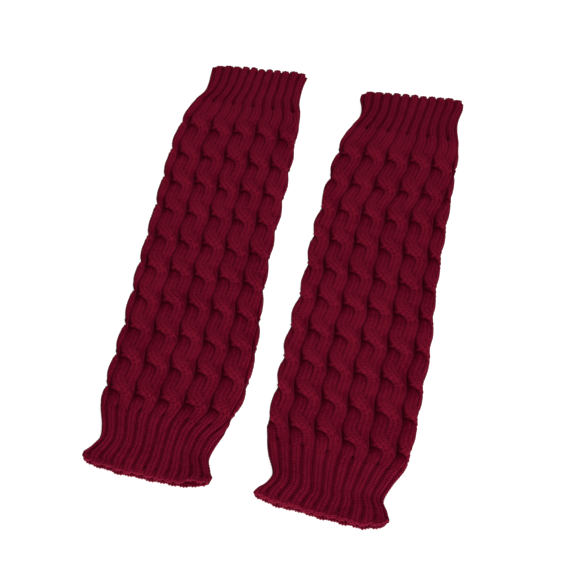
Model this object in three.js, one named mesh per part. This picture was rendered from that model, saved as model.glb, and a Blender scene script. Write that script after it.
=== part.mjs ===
import * as THREE from 'three';

// A pair of cable-knit leg warmers laid flat side by side. Millimetres, +Z up, the toes' end towards -Y.
// Each is a knitted tube: a ribbed cuff, a leg with rope cables all round it, and a second ribbed cuff.

// The knitting: 12 cables round the tube, two ribs for each cable, and ten crossings down each cable.
const CABLES = 12;
const CABLES_ON_TOP = 5.7;
const RIBS_PER_CABLE = 2;
const CROSSINGS = 10;

// Heights of the flattened tube, and of its two walls.
const LEG_HEIGHT = 12.0;
const CUFF_HEIGHT = 10.6;
const LEG_UNDER_WALL = 4.2;
const CUFF_UNDER_WALL = 3.6;
const SIDE_WALL = 6.0;
const INNER_GAP = 1.2;
const MOUTH_GAP = 1.2;
const MOUTH_LENGTH = 26;
const HEIGHT_EASE = 26;

// Seams between the pieces, and the shape of the rims.
const SEAM_GAP = 0.31;
const RIM_ROUND = 0.8;
const RIM_ROUND_LENGTH = 3.0;
const RIM_SCALLOP = { top: 3.0, bottom: 1.2 };
const LOWER_FORWARD = { top: 2.6, bottom: 1.1 };
const RIM_OUT = 0.8;
const RIM_FADE = 7;
const CORNER_REACH = 16;
const CORNER_POWER = 5;
const LIP_SPREAD = 0.13;
const TONGUE_SPREAD = 0.1;
const LIP_LENGTH = 24;

// Rope cables, across in parts of a cable and along in parts of a crossing pitch.
const GUTTER_DEPTH = 3.2;
const GUTTER_SHALLOW = 2.3;
const PARTNER_DEPTH = 0.25;
const EDGE_ROUND = 0.19;
const SWEEP = { from: -0.32, to: 0.1 };
const HOOK = { from: 0.08, to: 0.3 };
const ARCH = 0.12;
const NOTCH_DEPTH = 1.4;
const NOTCH_HALF = 0.09;
const NOTCH_REACH = 0.17;
const GUTTER_HALF = 0.035;
const SNAKE = 0.045;
const SNAKE_START = 0.08;
const CROSSING_RISE = 0.5;
const CROSSING_SPREAD = 0.2;
const EMERGE = { quick: 1.4, quickTo: 0.42, slow: 1.2, slowTo: 0.75, right: 0.75 };
const DIVE_DEPTH = 0.7;
const FOLD_PINCH = 6.5;
const RIGHT_SHARE = 0.42;

// Ribs, across in parts of a rib.
const RIB_DEPTH = 2.6;
const RIB_CROWN = 0.35;
const RIB_VALLEY_HALF = { top: 0.36, bottom: 0.25 };

// Where each course of knitting lies: y of its middle, x of its middle, width over the folds,
// lean in degrees, and turn, which is how far the first gutter has come over from the left fold.
const LEFT_COURSES = [
  { y: 208.2, x: -75.9, width: 95.0, lean: 5.9, turn: 0.84 },
  { y: 196.0, x: -76.6, width: 92.6, lean: 5.2, turn: 0.82 },
  { y: 184.0, x: -76.7, width: 92.4, lean: 4.6, turn: 0.79 },
  { y: 176.0, x: -77.1, width: 94.8, lean: 4.2, turn: 0.74 },
  { y: 167.0, x: -78.4, width: 103.4, lean: 4.0, turn: 0.70 },
  { y: 157.0, x: -79.2, width: 108.8, lean: 3.9, turn: 0.67 },
  { y: 143.0, x: -80.6, width: 114.5, lean: 3.7, turn: 0.63 },
  { y: 113.0, x: -81.3, width: 119.1, lean: 3.4, turn: 0.59 },
  { y: 61.0, x: -80.1, width: 120.1, lean: 2.8, turn: 0.58 },
  { y: 13.0, x: -79.1, width: 119.6, lean: 2.3, turn: 0.57 },
  { y: -34.0, x: -76.9, width: 122.2, lean: 1.9, turn: 0.50 },
  { y: -80.0, x: -73.3, width: 125.1, lean: 1.5, turn: 0.42 },
  { y: -126.0, x: -73.3, width: 125.1, lean: 1.1, turn: 0.42 },
  { y: -146.0, x: -75.6, width: 119.6, lean: 1.0, turn: 0.43 },
  { y: -161.0, x: -76.5, width: 112.6, lean: 0.9, turn: 0.45 },
  { y: -176.0, x: -76.7, width: 101.8, lean: 0.7, turn: 0.47 },
  { y: -187.0, x: -76.8, width: 97.8, lean: 0.6, turn: 0.46 },
  { y: -195.0, x: -77.3, width: 105.0, lean: 0.4, turn: 0.49 },
  { y: -204.0, x: -78.5, width: 114.0, lean: 0.2, turn: 0.50 },
  { y: -213.0, x: -79.2, width: 114.0, lean: -0.1, turn: 0.50 },
];
const RIGHT_COURSES = [
  { y: 211.6, x: 75.9, width: 100.4, lean: 6.3, turn: 0.80 },
  { y: 204.0, x: 76.2, width: 100.6, lean: 5.5, turn: 0.79 },
  { y: 190.0, x: 76.8, width: 94.8, lean: 4.4, turn: 0.69 },
  { y: 180.0, x: 76.8, width: 96.8, lean: 3.6, turn: 0.61 },
  { y: 170.0, x: 75.8, width: 104.1, lean: 3.4, turn: 0.55 },
  { y: 160.0, x: 74.7, width: 109.6, lean: 3.2, turn: 0.49 },
  { y: 147.0, x: 73.9, width: 115.2, lean: 2.9, turn: 0.41 },
  { y: 117.0, x: 72.8, width: 119.1, lean: 2.3, turn: 0.30 },
  { y: 79.0, x: 72.2, width: 121.9, lean: 1.6, turn: -0.03 },
  { y: 47.0, x: 72.0, width: 123.9, lean: 1.0, turn: -0.05 },
  { y: 0.0, x: 73.9, width: 124.7, lean: 0.2, turn: -0.06 },
  { y: -44.0, x: 75.2, width: 131.0, lean: -0.5, turn: -0.09 },
  { y: -77.0, x: 75.5, width: 130.8, lean: -1.0, turn: -0.12 },
  { y: -122.0, x: 76.2, width: 130.5, lean: -1.6, turn: -0.06 },
  { y: -142.0, x: 75.8, width: 130.2, lean: -1.8, turn: -0.02 },
  { y: -157.0, x: 76.3, width: 122.5, lean: -2.0, turn: 0.07 },
  { y: -172.0, x: 74.9, width: 110.3, lean: -2.2, turn: 0.18 },
  { y: -187.0, x: 76.2, width: 98.5, lean: -2.4, turn: 0.13 },
  { y: -195.0, x: 77.3, width: 105.7, lean: -2.2, turn: 0.14 },
  { y: -203.0, x: 75.6, width: 114.4, lean: -2.0, turn: 0.14 },
  { y: -212.6, x: 74.2, width: 118.4, lean: -1.7, turn: 0.14 },
];

// One row for each leg warmer: its seams and its first and last crossing, as y along the middle line,
// how many cables' worth of ribs each cuff has on top, and how far the ends of each rim are drawn back
// at the left and the right fold. The lip is where the
// upper wall stands open at the bottom mouth, and the tongue is where the hem comes forward there.
// Their places run from -1 at the left fold to 1 at the right fold.
const LEG_WARMERS = [
  {
    side: 'left', courses: LEFT_COURSES, topSeam: 166.5, bottomSeam: -158.5,
    firstCrossing: 136.3, lastCrossing: -139.9, cuffOnTop: { top: 5.97, bottom: 6.13 },
    topCorner: { left: 3.2, right: 0.6 }, bottomCorner: { left: 5.0, right: 8.5 },
    lip: { at: 0.75, lift: 2.0, back: 2.0 }, tongue: { at: 0.75, length: 0 },
  },
  {
    side: 'right', courses: RIGHT_COURSES, topSeam: 169.5, bottomSeam: -158.5,
    firstCrossing: 139.0, lastCrossing: -139.9, cuffOnTop: { top: 5.9, bottom: 5.93 },
    topCorner: { left: 3.6, right: 1.0 }, bottomCorner: { left: 4.5, right: 8.0 },
    lip: { at: 0.6, lift: 0.3, back: 0.2 }, tongue: { at: 0.6, length: 1.6 },
  },
];

// Brings the middle of the pair's box over the origin.
const TO_MIDDLE = { x: -0.71, y: -0.91 };

// Where the mesh has columns across one cable, and rows down one crossing pitch.
const CABLE_FINE = [0, 0.14, 0.3, 0.5, 0.7, 0.86];
const CABLE_MEDIUM = [0, 0.3, 0.5, 0.7];
const RIBS_FINE = [0, 0.13, 0.25, 0.37, 0.5, 0.63, 0.75, 0.87];
const RIBS_MEDIUM = [0, 0.25, 0.5, 0.75];
const COARSE = [0];
const FIRST_CABLE = -2;
const FINE_FROM = -1;
const FINE_TO = 5;
const CROSSING_ROWS = [-0.33, -0.12, 0.03, 0.2, 0.42];
const CUFF_ROW_PITCH = 8;
const INNER_COLUMNS = 24;
const LEG_INNER_ROWS = 9;
const CUFF_INNER_ROWS = 2;

// The yarn's colour, one material for each kind of piece.
const CUFF_COLOUR = 0x590a1e;
const CABLE_COLOUR = 0x5c091d;

function clamp(value, low, high) {
  return Math.min(high, Math.max(low, value));
}

function smooth(from, to, value) {
  const t = clamp((value - from) / (to - from), 0, 1);
  return t * t * (3 - 2 * t);
}

function mix(a, b, t) {
  return a + (b - a) * t;
}

// A smooth curve through one column of a table whose y falls from row to row.
function follow(rows, column, y) {
  const last = rows.length - 1;
  let i = 0;
  while (i < last - 1 && y < rows[i + 1].y) {
    i += 1;
  }
  const slope = (k) => {
    const before = rows[Math.max(k - 1, 0)];
    const after = rows[Math.min(k + 1, last)];
    return (after[column] - before[column]) / (after.y - before.y);
  };
  const span = rows[i + 1].y - rows[i].y;
  const t = clamp((y - rows[i].y) / span, 0, 1);
  const bend0 = t * t * t - 2 * t * t + t;
  const bend1 = t * t * t - t * t;
  const value = mix(rows[i][column], rows[i + 1][column], t * t * (3 - 2 * t));
  return value + span * (bend0 * slope(i) + bend1 * slope(i + 1));
}

// How far the cuffs have given way to the leg at a course: 0 in the cuffs, 1 in the leg.
function legShare(warmer, y) {
  const top = smooth(warmer.topSeam + HEIGHT_EASE / 2, warmer.topSeam - HEIGHT_EASE / 2, y);
  const bottom = smooth(warmer.bottomSeam - HEIGHT_EASE / 2, warmer.bottomSeam + HEIGHT_EASE / 2, y);
  return top * bottom;
}

// How many cables lie on the upper wall at a course.
function cablesShown(warmer, y) {
  const inCuff = y > 0 ? warmer.cuffOnTop.top : warmer.cuffOnTop.bottom;
  return mix(inCuff, CABLES_ON_TOP, legShare(warmer, y));
}

function hems(warmer) {
  const rows = warmer.courses;
  return { top: rows[0].y, bottom: rows[rows.length - 1].y };
}

// The gap between the two walls, which opens a little towards the mouths.
function gapAt(warmer, y) {
  const { top, bottom } = hems(warmer);
  const inside = Math.min(top - y, y - bottom);
  return mix(MOUTH_GAP, INNER_GAP, smooth(0, MOUTH_LENGTH, inside));
}

// The flattened section at a course. Around is counted in cables from the left fold over the top.
function section(around, halfWidth, halfHeight, cablesOnTop) {
  const flat = halfWidth - halfHeight;
  const quarter = (Math.PI / 2) * halfHeight;
  const half = 2 * flat + 2 * quarter;
  const turns = ((around % CABLES) + CABLES) % CABLES;
  const onTop = turns <= cablesOnTop;
  const share = onTop ? turns / cablesOnTop : (turns - cablesOnTop) / (CABLES - cablesOnTop);
  const run = share * half;
  let across = run - quarter - flat;
  let out = 0;
  let up = 1;
  if (run < quarter) {
    const angle = run / halfHeight;
    across = -flat - halfHeight * Math.cos(angle);
    out = -Math.cos(angle);
    up = Math.sin(angle);
  } else if (run > quarter + 2 * flat) {
    const angle = (half - run) / halfHeight;
    across = flat + halfHeight * Math.cos(angle);
    out = Math.cos(angle);
    up = Math.sin(angle);
  }
  const flip = onTop ? 1 : -1;
  return { across: flip * across, rise: flip * up * halfHeight, out: flip * out, up: flip * up };
}

// A course's own frame placed on the ground: across the tube at the course's lean.
function place(warmer, y, across, z, shift) {
  const lean = THREE.MathUtils.degToRad(follow(warmer.courses, 'lean', y));
  const x = follow(warmer.courses, 'x', y) + across * Math.cos(lean);
  return [x + TO_MIDDLE.x, y + across * Math.sin(lean) + shift + TO_MIDDLE.y, z];
}

// How far the rim is drawn back at the folds, easing out along the tube.
function cornerShift(warmer, y, share) {
  const { top, bottom } = hems(warmer);
  const fold = Math.abs(share) ** CORNER_POWER;
  const side = share < 0 ? 'left' : 'right';
  const fromTop = 1 - smooth(0, CORNER_REACH, top - y);
  const fromBottom = 1 - smooth(0, CORNER_REACH, y - bottom);
  return fold * (warmer.bottomCorner[side] * fromBottom - warmer.topCorner[side] * fromTop);
}

// How far the rim stands in or out along the tube: each rib ends in a small bump, and the lower wall
// lies a little nearer to the front than the upper wall.
function rimShift(warmer, y, cable, share, up) {
  const { top, bottom } = hems(warmer);
  const rib = cable * RIBS_PER_CABLE;
  const fromCrown = 2 * Math.abs(rib - Math.floor(rib) - 0.5);
  const curve = fromCrown ** 2 * smooth(-0.95, -0.3, up);
  const lower = 1 - smooth(-0.7, 0.3, up);
  const atTop = 1 - smooth(0, RIM_FADE, top - y);
  const atBottom = 1 - smooth(0, RIM_FADE, y - bottom);
  const tongue = warmer.tongue.length * Math.exp(-(((share - warmer.tongue.at) / TONGUE_SPREAD) ** 4));
  const topEdge = RIM_OUT - RIM_SCALLOP.top * curve - LOWER_FORWARD.top * lower;
  const bottomEdge = RIM_OUT + RIM_SCALLOP.bottom * curve - tongue - LOWER_FORWARD.bottom * lower;
  return topEdge * atTop + bottomEdge * atBottom;
}

// How far the upper wall stands open at the bottom mouth, 0 to 1.
function lipShare(warmer, y, share, up) {
  const across = Math.exp(-(((share - warmer.lip.at) / LIP_SPREAD) ** 2));
  const along = 1 - smooth(0, LIP_LENGTH, y - hems(warmer).bottom);
  return across * along * smooth(0, 0.8, up);
}

// Depth of the ribs' surface below their crowns, for a place across one cable.
function ribDepth(acrossCable, y) {
  const rib = acrossCable * RIBS_PER_CABLE;
  const fromValley = Math.abs(rib - Math.round(rib));
  const valley = 1 - smooth(0, y > 0 ? RIB_VALLEY_HALF.top : RIB_VALLEY_HALF.bottom, fromValley);
  return RIB_DEPTH * (RIB_CROWN * (1 - 2 * fromValley) ** 2 + (1 - RIB_CROWN) * valley);
}

// Shape of a rounded edge: 1 at the edge itself, 0 from one whole edge width inwards.
function edgeDrop(inwards) {
  const t = 1 - clamp(inwards / EDGE_ROUND, 0, 1);
  return 1 - Math.sqrt(1 - t * t);
}

function quarterArc(from, to, value) {
  const t = 1 - clamp((value - from) / (to - from), 0, 1);
  return Math.sqrt(1 - t * t);
}

// Depth of the gutters between cables, deepest beside the crossings.
function gutterDepth(s) {
  const near = clamp(Math.round(s), 0, CROSSINGS - 1);
  return mix(GUTTER_DEPTH, GUTTER_SHALLOW, smooth(0.15, 0.4, Math.abs(s - near)));
}

// Height of one strand of a cable at a place. Strands are named by the crossing that they sweep over:
// a strand comes up on the left, sweeps over to the right at its own crossing, and dives at the next.
function strandHeight(strand, a, s) {
  const crosses = strand >= 0 && strand < CROSSINGS;
  const down = s - strand;
  const pinched = NOTCH_HALF * Math.exp(-((down / NOTCH_REACH) ** 2));
  const hooked = crosses ? quarterArc(HOOK.from, HOOK.to, down) : 0;
  const swept = crosses ? smooth(SWEEP.from, SWEEP.to, down) : 0;
  const left = strand < 0 ? 0 : 0.5 * hooked - 0.5 + pinched + GUTTER_HALF * (1 - hooked);
  const right = strand < 0 ? 0.5 - GUTTER_HALF : (0.5 - GUTTER_HALF - pinched) * swept;
  if (a <= left || a >= right) {
    return -GUTTER_DEPTH - NOTCH_DEPTH;
  }
  const gutter = gutterDepth(s);
  const leftDepth = strand < 0 ? PARTNER_DEPTH : mix(gutter, PARTNER_DEPTH, smooth(0, 0.28, down));
  const rightDepth = strand < 0 ? gutter : mix(PARTNER_DEPTH, gutter, smooth(-0.15, 0.1, down));
  const under = down + 1 - ARCH * ((a + 0.25) / 0.25) ** 2;
  const low = mix(1, EMERGE.right, smooth(-0.42, 0, a));
  const quick = strand > 0 ? EMERGE.quick * low * (1 - smooth(0.05, EMERGE.quickTo, under)) : 0;
  const slow = strand > 0 ? EMERGE.slow * (1 - smooth(0.1, EMERGE.slowTo, down + 1)) : 0;
  const diving = strand < CROSSINGS - 1 ? DIVE_DEPTH * smooth(0.55, 0.95, down) : 0;
  const rise = crosses ? CROSSING_RISE * Math.exp(-((down / CROSSING_SPREAD) ** 2)) : 0;
  const edges = leftDepth * edgeDrop(a - left) + rightDepth * edgeDrop(right - a);
  return rise - quick - slow - diving - edges;
}

// Depth of the cables' surface below their crowns: a runs -0.5 to 0.5 across one cable,
// s counts crossings down the leg.
function cableDepth(a, s) {
  const near = clamp(Math.round(s), 0, CROSSINGS - 1);
  const notch = Math.exp(-(((s - near) / NOTCH_REACH) ** 2));
  let height = -gutterDepth(s) - NOTCH_DEPTH * notch;
  for (let strand = near - 1; strand <= near + 1; strand += 1) {
    height = Math.max(height, strandHeight(strand, a, s));
  }
  return -height;
}

// How far the folds are drawn in at the crossings, so that each cell stands out as a round bulge.
function foldPinch(s) {
  const near = clamp(Math.round(s), 0, CROSSINGS - 1);
  const toMiddle = clamp(2 * Math.abs(s - near), 0, 1);
  return FOLD_PINCH * (1 - Math.sqrt(1 - (1 - toMiddle) ** 2));
}

// The outer surface: pattern names which relief the piece has.
function outerPoint(warmer, pattern, y, cable) {
  const pitch = (warmer.firstCrossing - warmer.lastCrossing) / (CROSSINGS - 1);
  const down = (warmer.firstCrossing - y) / pitch;
  const sway = smooth(-0.9, -0.4, down) * smooth(CROSSINGS - 0.5, CROSSINGS - 0.9, down);
  const snake = SNAKE * sway * Math.sin(2 * Math.PI * (down - SNAKE_START));
  const around = cable + follow(warmer.courses, 'turn', y) + snake;
  const height = mix(CUFF_HEIGHT, LEG_HEIGHT, legShare(warmer, y));
  const halfWidth = follow(warmer.courses, 'width', y) / 2;
  const spot = section(around, halfWidth, height / 2, cablesShown(warmer, y));
  const shown = smooth(-0.95, -0.3, spot.up);
  const acrossCable = cable - Math.floor(cable);
  const ribs = ribDepth(acrossCable, y);
  let depth = ribs;
  if (pattern === 'cables') {
    const begun = smooth(-1.0, -0.72, down) * smooth(CROSSINGS - 0.38, CROSSINGS - 0.7, down);
    const pinch = foldPinch(down) * spot.out ** 2 * (spot.out < 0 ? 1 : RIGHT_SHARE);
    const bulged = cableDepth(acrossCable - 0.5, down) + pinch;
    depth = mix(ribs, bulged, begun);
  }
  const { top, bottom } = hems(warmer);
  const fromRim = Math.min(top - y, y - bottom);
  const round = RIM_ROUND * (1 - smooth(0, RIM_ROUND_LENGTH, fromRim));
  const inset = (depth + round) * shown;
  const share = spot.across / halfWidth;
  const lip = lipShare(warmer, y, share, spot.up);
  const rim = rimShift(warmer, y, cable, share, spot.up);
  const shift = cornerShift(warmer, y, share) + rim + warmer.lip.back * lip;
  const across = spot.across - spot.out * inset;
  const z = height / 2 + spot.rise - spot.up * inset + warmer.lip.lift * lip;
  return place(warmer, y, across, z, shift);
}

// The plain inner surface.
function innerPoint(warmer, y, cable) {
  const around = cable + follow(warmer.courses, 'turn', y);
  const gap = gapAt(warmer, y);
  const halfWidth = follow(warmer.courses, 'width', y) / 2 - SIDE_WALL;
  const spot = section(around, halfWidth, gap / 2, cablesShown(warmer, y));
  const floor = mix(CUFF_UNDER_WALL, LEG_UNDER_WALL, legShare(warmer, y));
  const share = spot.across / halfWidth;
  const lip = lipShare(warmer, y, share, spot.up);
  const rim = rimShift(warmer, y, cable, share, spot.up);
  const shift = cornerShift(warmer, y, share) + rim + warmer.lip.back * lip;
  return place(warmer, y, spot.across, floor + gap / 2 + spot.rise + warmer.lip.lift * lip, shift);
}

// Columns round the tube, fine where the relief shows and coarse on the underside.
function columns(fine, medium) {
  const list = [];
  for (let k = FIRST_CABLE; k < FIRST_CABLE + CABLES; k += 1) {
    let steps = COARSE;
    if (k >= FINE_FROM && k <= FINE_TO) {
      steps = fine;
    } else if (k === FINE_FROM - 1 || k === FINE_TO + 1) {
      steps = medium;
    }
    for (const step of steps) {
      list.push(k + step);
    }
  }
  return list;
}

function evenRows(from, to, count) {
  return Array.from({ length: count + 1 }, (_, i) => mix(from, to, i / count));
}

function legRows(warmer, from, to) {
  const pitch = (warmer.firstCrossing - warmer.lastCrossing) / (CROSSINGS - 1);
  const rows = [from];
  for (let crossing = -1; crossing <= CROSSINGS; crossing += 1) {
    for (const part of CROSSING_ROWS) {
      const y = warmer.firstCrossing - (crossing + part) * pitch;
      if (y < from - 1.5 && y > to + 1.5) {
        rows.push(y);
      }
    }
  }
  rows.push(to);
  return rows;
}

// A cuff's rows, closer together where the rim rounds over.
function cuffRows(warmer, from, to) {
  const { top, bottom } = hems(warmer);
  const rimAtStart = Math.abs(from - top) < 0.01;
  const start = rimAtStart ? from - RIM_ROUND_LENGTH : from;
  const end = Math.abs(to - bottom) < 0.01 ? to + RIM_ROUND_LENGTH : to;
  const rows = evenRows(start, end, Math.round((start - end) / CUFF_ROW_PITCH));
  const rim = rimAtStart ? [from, from - RIM_ROUND_LENGTH / 2] : [to + RIM_ROUND_LENGTH / 2, to];
  return rimAtStart ? [...rim, ...rows] : [...rows, ...rim];
}

// A closed wall: outer grid, inner grid, and a strip at each end that joins their rings.
function wall(warmer, pattern, outerColumns, outerRows, innerRows) {
  const points = [];
  const faces = [];
  const innerColumns = Array.from(
    { length: INNER_COLUMNS },
    (_, i) => FIRST_CABLE + (i * CABLES) / INNER_COLUMNS,
  );
  const addGrid = (rows, cols, point) => {
    const start = points.length;
    for (const y of rows) {
      for (const cable of cols) {
        points.push(point(y, cable));
      }
    }
    return (row, col) => start + row * cols.length + (col % cols.length);
  };
  const outer = addGrid(outerRows, outerColumns, (y, cable) => outerPoint(warmer, pattern, y, cable));
  const inner = addGrid(innerRows, innerColumns, (y, cable) => innerPoint(warmer, y, cable));
  const addFaces = (at, rowCount, colCount, outward) => {
    for (let row = 0; row < rowCount - 1; row += 1) {
      for (let col = 0; col < colCount; col += 1) {
        const a = at(row, col);
        const b = at(row, col + 1);
        const c = at(row + 1, col + 1);
        const d = at(row + 1, col);
        if (outward) {
          faces.push([a, d, c], [a, c, b]);
        } else {
          faces.push([a, c, d], [a, b, c]);
        }
      }
    }
  };
  addFaces(outer, outerRows.length, outerColumns.length, true);
  addFaces(inner, innerRows.length, innerColumns.length, false);
  const addEnd = (outerRow, innerRow, first) => {
    let i = 0;
    let j = 0;
    const outerAt = (k) => outerColumns[k % outerColumns.length] + (k >= outerColumns.length ? CABLES : 0);
    const innerAt = (k) => innerColumns[k % innerColumns.length] + (k >= innerColumns.length ? CABLES : 0);
    while (i < outerColumns.length || j < innerColumns.length) {
      const stepOuter = j >= innerColumns.length
        || (i < outerColumns.length && outerAt(i + 1) <= innerAt(j + 1));
      const a = outer(outerRow, i);
      const b = inner(innerRow, j);
      const c = stepOuter ? outer(outerRow, i + 1) : inner(innerRow, j + 1);
      faces.push(first ? [a, c, b] : [a, b, c]);
      if (stepOuter) {
        i += 1;
      } else {
        j += 1;
      }
    }
  };
  addEnd(0, 0, true);
  addEnd(outerRows.length - 1, innerRows.length - 1, false);
  const geometry = new THREE.BufferGeometry();
  geometry.setAttribute('position', new THREE.Float32BufferAttribute(points.flat(), 3));
  geometry.setIndex(faces.flat());
  geometry.computeVertexNormals();
  return geometry;
}

function piece(name, geometry, colour) {
  const material = new THREE.MeshStandardMaterial({ color: colour, roughness: 0.9, metalness: 0 });
  material.name = `${name}_knit`;
  const mesh = new THREE.Mesh(geometry, material);
  mesh.name = name;
  return mesh;
}

const group = new THREE.Group();
group.name = 'leg_warmers';
for (const warmer of LEG_WARMERS) {
  const { side } = warmer;
  const { top, bottom } = hems(warmer);
  const cuffColumns = columns(RIBS_FINE, RIBS_MEDIUM);
  const legColumns = columns(CABLE_FINE, CABLE_MEDIUM);
  const topCuff = [top, warmer.topSeam + SEAM_GAP / 2];
  const leg = [warmer.topSeam - SEAM_GAP / 2, warmer.bottomSeam + SEAM_GAP / 2];
  const bottomCuff = [warmer.bottomSeam - SEAM_GAP / 2, bottom];
  group.add(piece(
    `${side}_top_cuff`,
    wall(warmer, 'ribs', cuffColumns, cuffRows(warmer, ...topCuff), evenRows(...topCuff, CUFF_INNER_ROWS)),
    CUFF_COLOUR,
  ));
  group.add(piece(
    `${side}_cable_leg`,
    wall(warmer, 'cables', legColumns, legRows(warmer, ...leg), evenRows(...leg, LEG_INNER_ROWS)),
    CABLE_COLOUR,
  ));
  const insideRows = evenRows(...bottomCuff, CUFF_INNER_ROWS);
  group.add(piece(
    `${side}_bottom_cuff`,
    wall(warmer, 'ribs', cuffColumns, cuffRows(warmer, ...bottomCuff), insideRows),
    CUFF_COLOUR,
  ));
}

export default group;
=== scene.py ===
# %% [markdown]
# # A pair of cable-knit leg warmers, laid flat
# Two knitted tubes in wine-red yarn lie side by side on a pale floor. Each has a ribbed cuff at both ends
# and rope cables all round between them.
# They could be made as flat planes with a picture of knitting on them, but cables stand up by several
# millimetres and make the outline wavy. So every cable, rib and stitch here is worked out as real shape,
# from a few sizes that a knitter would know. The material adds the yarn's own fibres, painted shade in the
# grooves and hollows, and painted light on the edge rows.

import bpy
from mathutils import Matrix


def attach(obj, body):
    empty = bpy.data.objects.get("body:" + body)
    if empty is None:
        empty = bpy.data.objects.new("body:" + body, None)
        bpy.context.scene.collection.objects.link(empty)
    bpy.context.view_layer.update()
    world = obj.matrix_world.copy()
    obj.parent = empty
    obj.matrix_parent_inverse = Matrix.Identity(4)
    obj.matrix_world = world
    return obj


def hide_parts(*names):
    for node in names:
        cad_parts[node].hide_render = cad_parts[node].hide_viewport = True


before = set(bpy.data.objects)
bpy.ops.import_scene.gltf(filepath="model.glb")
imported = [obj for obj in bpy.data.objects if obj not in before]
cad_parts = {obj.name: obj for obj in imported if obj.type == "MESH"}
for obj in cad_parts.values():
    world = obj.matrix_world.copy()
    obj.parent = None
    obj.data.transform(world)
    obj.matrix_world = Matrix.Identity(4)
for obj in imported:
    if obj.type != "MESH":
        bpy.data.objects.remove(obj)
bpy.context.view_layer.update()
print("nodes:", sorted(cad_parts))

# %% Libraries
import math

import bpy
import numpy as np
from mathutils import Vector

print("Blender", bpy.app.version_string)

# %% [markdown]
# ## The camera
# The leg warmers lie on the floor and are seen from high up in front, a little from the right.
# A camera can be placed by eye, but then nothing lines up for sure. Here it stands at a measured angle and
# distance from the point on the floor that is in the middle of the picture.

# %% Place the camera
AZIMUTH = math.radians(12.8)
ELEVATION = math.radians(66)
DISTANCE = 1.1742
LOOK_AT = Vector((-0.00071, -0.01091, 0.0))
LENS_ON_36MM = 80.54

back = Vector((
    math.sin(AZIMUTH) * math.cos(ELEVATION),
    -math.cos(AZIMUTH) * math.cos(ELEVATION),
    math.sin(ELEVATION),
))
camera_data = bpy.data.cameras.new("camera")
camera_data.lens = LENS_ON_36MM
camera_data.sensor_width = 36
camera = bpy.data.objects.new("camera", camera_data)
camera.location = LOOK_AT + back * DISTANCE
camera.rotation_euler = back.to_track_quat("Z", "Y").to_euler()
bpy.context.collection.objects.link(camera)
bpy.context.scene.camera = camera
print("camera at", [round(v, 3) for v in camera.location])

# %% [markdown]
# ## How each tube lies
# A knitted tube is not a straight box: it is narrow at the cuffs, wide at the calf, and it leans and
# twists a little as it is put down. It could be bent by hand or by a cloth simulation. A short table of
# courses keeps the control: each row says where one course of stitches lies. Sizes are in millimetres.

# %% Tables of courses
# y of the middle, x of the middle, width over the folds, lean in degrees, and turn: how many cables
# the first gutter has come over from the left fold.
COLUMNS = ("y", "x", "width", "lean", "turn")
LEFT_COURSES = (
    (208.2, -75.9, 95.0, 5.9, 0.84),
    (196.0, -76.6, 92.6, 5.2, 0.82),
    (184.0, -76.7, 92.4, 4.6, 0.79),
    (176.0, -77.1, 94.8, 4.2, 0.74),
    (167.0, -78.4, 103.4, 4.0, 0.70),
    (157.0, -79.2, 108.8, 3.9, 0.67),
    (143.0, -80.6, 114.5, 3.7, 0.63),
    (113.0, -81.3, 119.1, 3.4, 0.59),
    (61.0, -80.1, 120.1, 2.8, 0.58),
    (13.0, -79.1, 119.6, 2.3, 0.57),
    (-34.0, -76.9, 122.2, 1.9, 0.50),
    (-80.0, -73.3, 125.1, 1.5, 0.42),
    (-126.0, -73.3, 125.1, 1.1, 0.42),
    (-146.0, -75.6, 119.6, 1.0, 0.43),
    (-161.0, -76.5, 112.6, 0.9, 0.45),
    (-176.0, -76.7, 101.8, 0.7, 0.47),
    (-187.0, -76.8, 97.8, 0.6, 0.46),
    (-195.0, -77.3, 105.0, 0.4, 0.49),
    (-204.0, -78.5, 114.0, 0.2, 0.50),
    (-213.0, -79.2, 114.0, -0.1, 0.50),
)
RIGHT_COURSES = (
    (211.6, 75.9, 100.4, 6.3, 0.80),
    (204.0, 76.2, 100.6, 5.5, 0.79),
    (190.0, 76.8, 94.8, 4.4, 0.69),
    (180.0, 76.8, 96.8, 3.6, 0.61),
    (170.0, 75.8, 104.1, 3.4, 0.55),
    (160.0, 74.7, 109.6, 3.2, 0.49),
    (147.0, 73.9, 115.2, 2.9, 0.41),
    (117.0, 72.8, 119.1, 2.3, 0.30),
    (79.0, 72.2, 121.9, 1.6, -0.03),
    (47.0, 72.0, 123.9, 1.0, -0.05),
    (0.0, 73.9, 124.7, 0.2, -0.06),
    (-44.0, 75.2, 131.0, -0.5, -0.09),
    (-77.0, 75.5, 130.8, -1.0, -0.12),
    (-122.0, 76.2, 130.5, -1.6, -0.06),
    (-142.0, 75.8, 130.2, -1.8, -0.02),
    (-157.0, 76.3, 122.5, -2.0, 0.07),
    (-172.0, 74.9, 110.3, -2.2, 0.18),
    (-187.0, 76.2, 98.5, -2.4, 0.13),
    (-195.0, 77.3, 105.7, -2.2, 0.14),
    (-203.0, 75.6, 114.4, -2.0, 0.14),
    (-212.6, 74.2, 118.4, -1.7, 0.14),
)
TO_MIDDLE = (-0.71, -0.91)
print("courses in the tables:", len(LEFT_COURSES), len(RIGHT_COURSES))

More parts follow.
